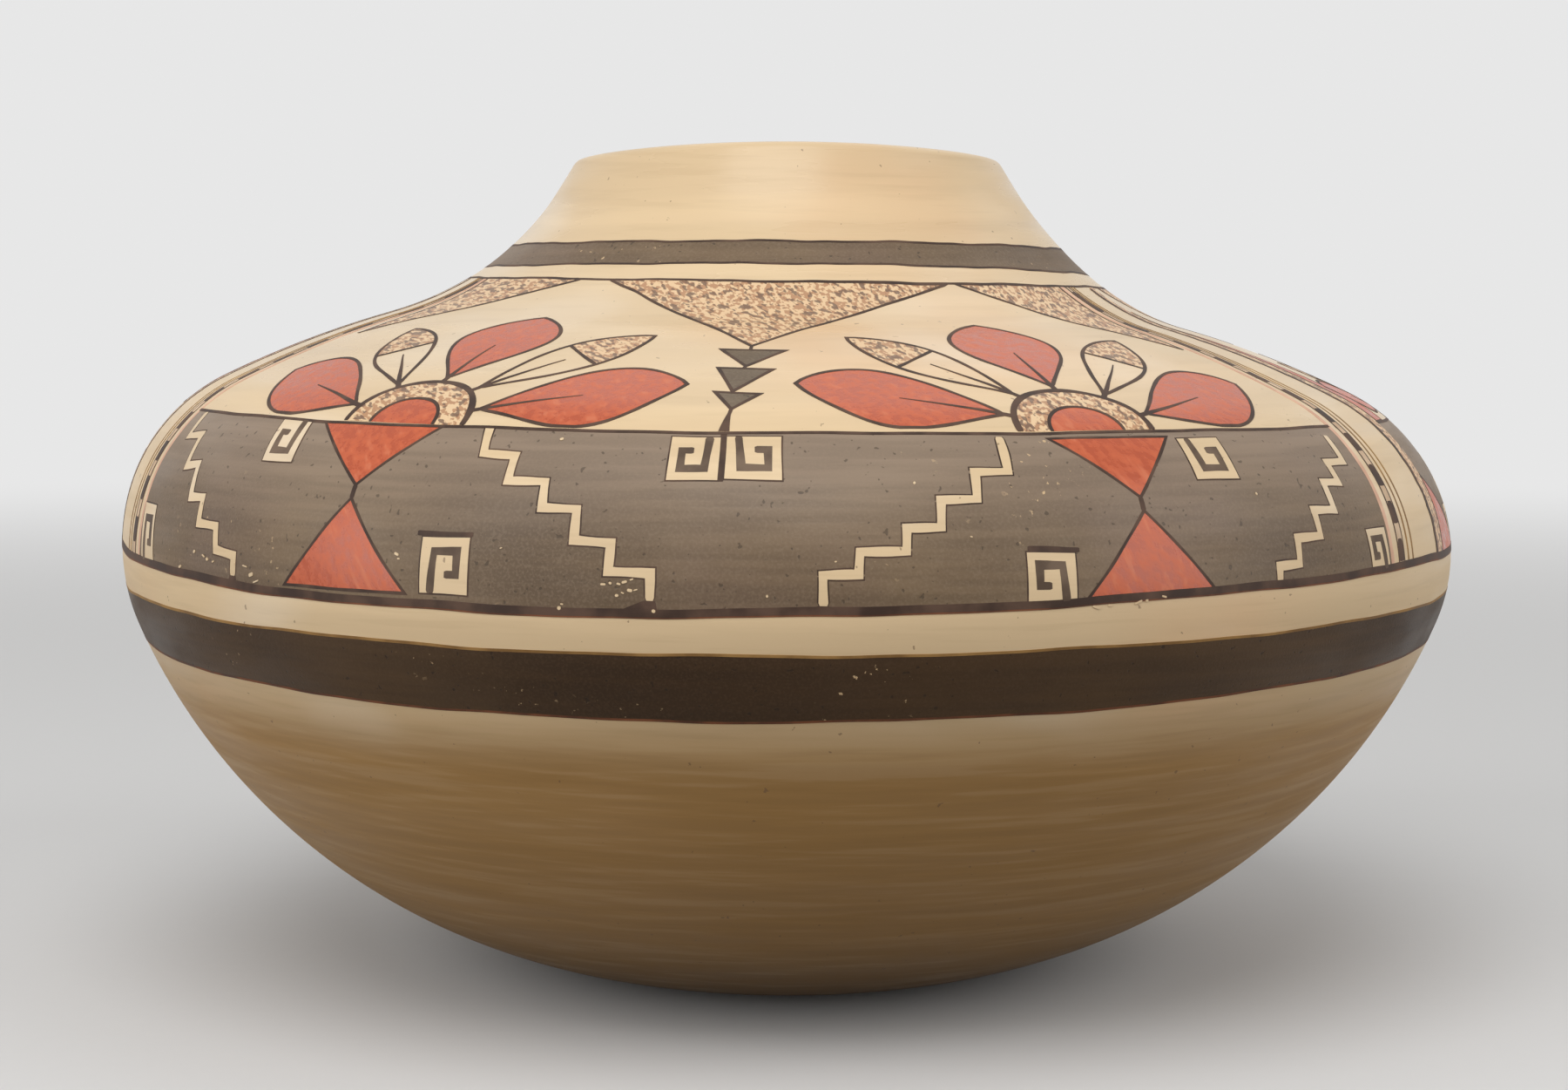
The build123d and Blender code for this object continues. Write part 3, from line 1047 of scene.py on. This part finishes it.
def makeHangingTriangles():
    speckled, outline = hangingWork["speckled"], hangingWork["outline"]
    paintPanels("speckledTriangles", "speckle", [filled(*hangingEdges(corners)) for corners in speckled], 1)
    edges = [stroke(hangingOutline(corners), outline, True) for corners in speckled]
    paintPanels("speckledTriangleEdges", "dark", edges, 3)
    fills, lines = pointedShapes(hangingWork["column"], outline)
    paintPanels("columnTriangles", "olive", fills, 1)
    lines += [stroke(line, outline) for line in hangingWork["stem"]] + [filled(*hangingWork["root"])]
    paintPanels("columnLines", "dark", lines, 3)


# A half sun with fanned feathers stands on the register, to each side of the column. Its centres and
# the feathers' leans are in degrees, and its sizes in millimetres.
sunWork = {
    "centres": (-33.0, 25.0),
    "footAbove": 0.5,
    "sunRadius": 12.0,
    "redRadius": 6.5,
    "feathers": [(-72, "red"), (-38, "speckle"), (0, "red"), (38, "speckle"), (72, "red")],
    "featherStart": 13.5,
    "featherEnds": (46.0, 41.0),  # at the sides, and upright
    "featherWidths": {"red": 18.5, "speckle": 11.5},
    "quillRoot": 1.0,
    "quillTip": 0.22,
    "featherSteps": 33,
    "featherPowers": (1.35, 0.8),
    "featherRoot": 0.12,
    "leastRise": 0.6,  # no feather dips closer than this to the sun's foot
    "quillSteps": 9,
    "quillReach": (0.9, 0.66),  # shares of where the feather starts and ends
    "speckledTip": 19,  # a speckled feather is filled from this step on
    "tipLine": 0.6,
    "arcSteps": 37,
    "rimLine": 1.1,
    "outline": 0.65,
}


def fromSun(centre, foot, across, up):
    # Millimetres across and up from the sun's middle, as places on the wall
    run = foot + np.asarray(up, float)
    radius = wallPoint(run / 1000, 0)[0] * 1000
    return list(zip((centre + np.degrees(np.asarray(across, float) / radius)).tolist(), run.tolist()))


def aboutSpoke(centre, foot, lean, away, half):
    # The edges to both sides of a spoke that leans out from the sun's middle: at each distance
    # away along it, half to the left and half to the right, but not too close to the sun's foot
    turn = math.radians(lean)
    edges = []
    for side in (-half, half):
        across = away * math.sin(turn) + side * math.cos(turn)
        up = np.maximum(away * math.cos(turn) - side * math.sin(turn), sunWork["leastRise"])
        edges.append(fromSun(centre, foot, across, up))
    return edges


def featherEdges(centre, foot, lean, start, end, width):
    # A leaf: half its width * sin(pi * share ** 1.35) ** 0.8, so that it is widest beyond its middle
    share = np.linspace(0, 1, sunWork["featherSteps"])
    slow, blunt = sunWork["featherPowers"]
    half = np.sin(math.pi * share**slow) ** blunt * width / 2 + sunWork["featherRoot"] * (1 - share)
    return aboutSpoke(centre, foot, lean, start + (end - start) * share, half)


def quillEdges(centre, foot, lean, start, end):
    # A quill that narrows evenly from the root to a fine tip
    half = np.linspace(sunWork["quillRoot"], sunWork["quillTip"], sunWork["quillSteps"]) / 2
    return aboutSpoke(centre, foot, lean, np.linspace(start, end, sunWork["quillSteps"]), half)


def arcAt(centre, foot, radius):
    # Half a circle over the sun's middle: radius * (sine, cosine)
    turn = np.linspace(-math.pi / 2, math.pi / 2, sunWork["arcSteps"])
    return fromSun(centre, foot, radius * np.sin(turn), radius * np.cos(turn))


def makeSuns(name, centres, size, feathers):
    outline, tip = sunWork["outline"], sunWork["speckledTip"]
    side, upright = sunWork["featherEnds"]
    reds, speckles, darks = [], [], []
    for centre in centres:
        foot = float(edgeRun("registerTop", centre)) + sunWork["footAbove"]
        core = sunWork["redRadius"] * size
        inner, outer = arcAt(centre, foot, core), arcAt(centre, foot, sunWork["sunRadius"] * size)
        reds.append(filled(inner, fromSun(centre, foot, [-core, core], [0, 0])))
        speckles.append(filled(inner, outer))
        darks += [stroke(inner, outline), stroke(outer, sunWork["rimLine"])]
        for lean, finish in feathers:
            start = sunWork["featherStart"] * size
            end = (side + (upright - side) * math.cos(math.radians(lean))) * size
            width = sunWork["featherWidths"][finish] * size
            first, second = featherEdges(centre, foot, lean, start, end, width)
            if finish == "red":
                reds.append(filled(first, second))
            else:
                speckles.append(filled(first[tip:], second[tip:]))
                darks.append(stroke([first[tip], second[tip]], sunWork["tipLine"]))
            darks.append(stroke(first + second[-2:0:-1], outline, True))
            root, fineTip = sunWork["quillReach"]
            darks.append(filled(*quillEdges(centre, foot, lean, start * root, end * fineTip)))
    paintPanels(name + "Red", "red", reds, 1)
    paintPanels(name + "Speckle", "speckle", speckles, 2)
    paintPanels(name + "Lines", "dark", darks, 4)


# Upright dividers between the panels. Places across them are degrees outwards from the panel's edge.
dividerWork = {
    "sides": [(register["right"], 1), (register["left"], -1)],  # the edge, and which way is outwards
    "edgeWidth": 1.2,
    "dashStrip": (1.3, 2.4),
    "stripEdge": 0.35,
    "firstDash": 132.1,
    "dashPitch": 6.9,
    "dashLength": 4.1,
    "dashWidth": 2.0,
    "longDashes": [(187.5, 5.5), (198.0, 5.0), (207.5, 7.0)],
    "lastDash": 183.0,
    "fineLines": (3.3, 4.3),
    "fineWidth": 0.5,
    "cordPlace": 11.3,
    "cordWidth": 1.4,
    "cordStep": 1.0,
    "cordBulge": 0.18,
    "cordPitch": 5.2,
    "strip": (11.7, 13.7),
}


def makeDividers():
    work = dividerWork
    pinks, darks, ochres, speckles, grounds = [], [], [], [], []
    for edge, out in work["sides"]:
        low, high = float(edgeRun("registerFoot", edge)), float(edgeRun("neckLine", edge))
        lineAt = {
            away: [(edge + out * away, low), (edge + out * away, high)]
            for away in (0, *work["dashStrip"], *work["fineLines"], *work["strip"])
        }
        inner, outer = [lineAt[away] for away in work["dashStrip"]]
        pinks.append(stroke(lineAt[0], work["edgeWidth"]))
        grounds.append(filled(inner, outer))
        darks += [stroke(line, work["stripEdge"]) for line in (inner, outer)]
        middle = edge + out * sum(work["dashStrip"]) / 2
        starts = np.arange(work["firstDash"], work["lastDash"], work["dashPitch"])
        for start, length in [(start, work["dashLength"]) for start in starts.tolist()] + work["longDashes"]:
            darks.append(stroke([(middle, start), (middle, start + length)], work["dashWidth"]))
        ochres += [stroke(lineAt[away], work["fineWidth"]) for away in work["fineLines"]]
        # The cord bulges outwards once every pitch, by the size of a sine
        run = np.arange(low, high, work["cordStep"])
        bulge = work["cordBulge"] * np.abs(np.sin(run * math.pi / work["cordPitch"]))
        cord = edge + out * (work["cordPlace"] + bulge)
        darks.append(stroke(list(zip(cord.tolist(), run.tolist())), work["cordWidth"]))
        speckles.append(filled(*[lineAt[away] for away in work["strip"]]))
    paintPanels("dividerDashGround", "dashGround", grounds, 1)
    paintPanels("dividerEdges", "pink", pinks, 2)
    paintPanels("dividerFineLines", "ochre", ochres, 2)
    paintPanels("dividerStrips", "speckle", speckles, 1)
    paintPanels("dividerDashes", "dark", darks, 3)


# The two narrow panels at the sides, between the dividers
sideWork = {
    "centre": 84.85,
    "halfWidth": 16.5,
    "redFoot": [(-16.4, 131.4), (-8.2, 131.4), (-16.4, 146.6)],
    "redShoulder": [(-16.0, 158.9), (-12.6, 158.9), (-15.6, 208.0)],
    "steppedLine": [(0.0, 154.0), (2.2, 154.0), (2.2, 149.0), (4.8, 149.0), (4.8, 144.0), (7.4, 144.0),
                    (7.4, 139.0), (10.0, 139.0), (10.0, 134.5)],
    "hourglass": [(-3.6, 146.3), (3.6, 146.3), (0.0, 139.6), (0.0, 138.4), (-3.6, 131.6), (3.6, 131.6)],
    "speckled": [(-13.4, 216.0), (13.4, 216.0), (0.0, 190.0)],
    "feathers": [(-66, "red"), (-33, "speckle"), (0, "red"), (33, "speckle"), (66, "red")],
    "sunSize": 0.62,
}


def sideEdges():
    # Where a side panel starts and ends
    return [sideWork["centre"] + side * sideWork["halfWidth"] for side in (-1, 1)]


def aboutSide(points, turn=1):
    # Places given by degrees from the side panel's middle, mirrored where turn is -1
    return [(sideWork["centre"] + turn * away, run) for away, run in points]


def makeSidePanels():
    outline, width = register["outline"], register["steppedWidth"]
    paintPanels("sideGround", "brown", [registerFill(*sideEdges())], 0)
    shapes = [aboutSide(sideWork[key], turn) for turn in (1, -1) for key in ("redFoot", "redShoulder")]
    reds, darks = pointedShapes(shapes + glassHalves(aboutSide(sideWork["hourglass"])), outline)
    steps = [aboutSide(sideWork["steppedLine"], turn) for turn in (1, -1)]
    speckled = aboutSide(sideWork["speckled"])
    darks.append(stroke(hangingOutline(speckled), hangingWork["outline"], True))
    paintPanels("sideReds", "red", reds, 1)
    paintPanels("sideLines", "dark", darks, 3)
    paintPanels("sideSteppedLineEdges", "dark", [stroke(line, width + outline) for line in steps], 1)
    paintPanels("sideSteppedLines", "clay", [stroke(line, width) for line in steps], 4)
    paintPanels("sideSpeckledTriangles", "speckle", [filled(*hangingEdges(speckled))], 1)


makeBands()
print("bands painted")
makeRegister()
print("register painted")
makeHangingTriangles()
makeSuns("sun", sunWork["centres"], 1.0, sunWork["feathers"])
makeSuns("sideSun", [sideWork["centre"]], sideWork["sunSize"], sideWork["feathers"])
print("shoulder painted")
makeDividers()
makeSidePanels()
print("dividers and side panels painted")

# Floor, light and camera
studio = {
    "floorRadius": 9.0,
    "floorSides": 96,
    "floorColour": (0.74, 0.74, 0.74),
    "grainScale": 300,
    "grainShare": 0.08,
    "grainColour": (0.6, 0.6, 0.6),
    "floorRoughness": 0.85,
    "floorGloss": 0.1,
    "floorUnderJar": (0.115, 0.096, 0.075),  # what the floor throws back on the jar
    "paleWorld": (0.80, 0.80, 0.80),
    "fade": (0.30, 1.5),  # the floor fades into the background between these distances
    "skyLight": (1.0, 0.98, 0.95),
    "worldStrength": 0.33,
    "lamps": {
        # place, size, power
        "topLamp": ((-0.12, -0.72, 1.14), 0.95, 6.9),
        "backLamp": ((0.15, 0.75, 1.2), 1.2, 1.5),
        "leftLamp": ((-0.98, -0.75, 0.45), 1.3, 9.8),
        "rightLamp": ((1.1, -0.55, 0.55), 1.3, 7.4),
    },
    "lookAt": (0.0, 0.0, 0.09),
    "lens": 65.96,
    "sensor": 36.0,
    "clip": (0.01, 50.0),
    "cameraPlace": (-0.0005, -0.5502, 0.1269),
    "pitch": 4.98,  # degrees below level
    "roll": 0.002,  # radians
}


def seenByLens(socket):
    # 1 for what the camera, a gloss or a glass shows, and 0 for light that lights other things
    path = newNode(socket, "LightPath").outputs
    seen = combine("MAXIMUM", path["Is Camera Ray"], path["Is Glossy Ray"])
    return combine("MAXIMUM", seen, path["Is Transmission Ray"])


def makeFloor():
    # One flat face: radius * (sine, -cosine)
    turn = np.linspace(0, 2 * math.pi, studio["floorSides"], endpoint=False)
    points = np.stack([np.sin(turn), -np.cos(turn), 0 * turn], axis=1) * studio["floorRadius"]
    mesh = bpy.data.meshes.new("floor")
    mesh.from_pydata(points.tolist(), [], [list(range(len(points)))])
    material, shader, place = startMaterial("paleFloor")
    seen = seenByLens(place)
    grain = times(pattern(place, studio["grainScale"]), studio["grainShare"])
    pale = mixColour(grain, studio["floorColour"], studio["grainColour"])
    feed(shader.inputs["Base Color"], mixColour(seen, studio["floorUnderJar"], pale))
    feed(shader.inputs["Roughness"], studio["floorRoughness"])
    feed(shader.inputs["Specular IOR Level"], studio["floorGloss"])
    # Far from the jar the lens sees the plain pale background
    far, plain, blend = [newNode(place, kind) for kind in ("VectorMath", "Emission", "MixShader")]
    far.operation = "LENGTH"
    feed(far.inputs[0], place)
    feed(plain.inputs["Color"], studio["paleWorld"])
    fade = times(spread(far.outputs["Value"], *studio["fade"]), seen)
    for socket, value in zip(blend.inputs, (fade, shader.outputs["BSDF"], plain.outputs["Emission"])):
        feed(socket, value)
    feed(material.node_tree.nodes["Material Output"].inputs["Surface"], blend.outputs["Shader"])
    mesh.materials.append(material)
    floor = newObject("floor", mesh)


def makeLamp(name, place, size, power):
    # A round lamp that faces the jar
    lamp = bpy.data.lights.new(name, "AREA")
    lamp.shape = "DISK"
    lamp.size, lamp.energy = size, power
    holder = newObject(name, lamp)
    holder.location = place
    away = Vector(place) - Vector(studio["lookAt"])
    holder.rotation_euler = away.to_track_quat("Z", "Y").to_euler()


def makeWorld():
    world = bpy.data.worlds.new("paleWorld")
    world.use_nodes = True
    sockets = world.node_tree.nodes["Background"].inputs
    seen = seenByLens(sockets["Color"])
    feed(sockets["Color"], mixColour(seen, studio["skyLight"], studio["paleWorld"]))
    feed(sockets["Strength"], spread(seen, 0, 1, studio["worldStrength"], 1.0))
    bpy.context.scene.world = world


def makeCamera():
    data = bpy.data.cameras.new("camera")
    data.lens = studio["lens"]
    data.sensor_width = studio["sensor"]
    data.clip_start, data.clip_end = studio["clip"]
    camera = newObject("camera", data)
    tilt = Matrix.Rotation(math.radians(90 - studio["pitch"]), 4, "X")
    look = tilt @ Matrix.Rotation(studio["roll"], 4, "Z")
    camera.matrix_world = Matrix.Translation(studio["cameraPlace"]) @ look
    bpy.context.scene.camera = camera


makeFloor()
for name, (place, size, power) in studio["lamps"].items():
    makeLamp(name, place, size, power)
makeWorld()
makeCamera()
bpy.context.scene.view_settings.view_transform = "Standard"
print("floor, light and camera set")
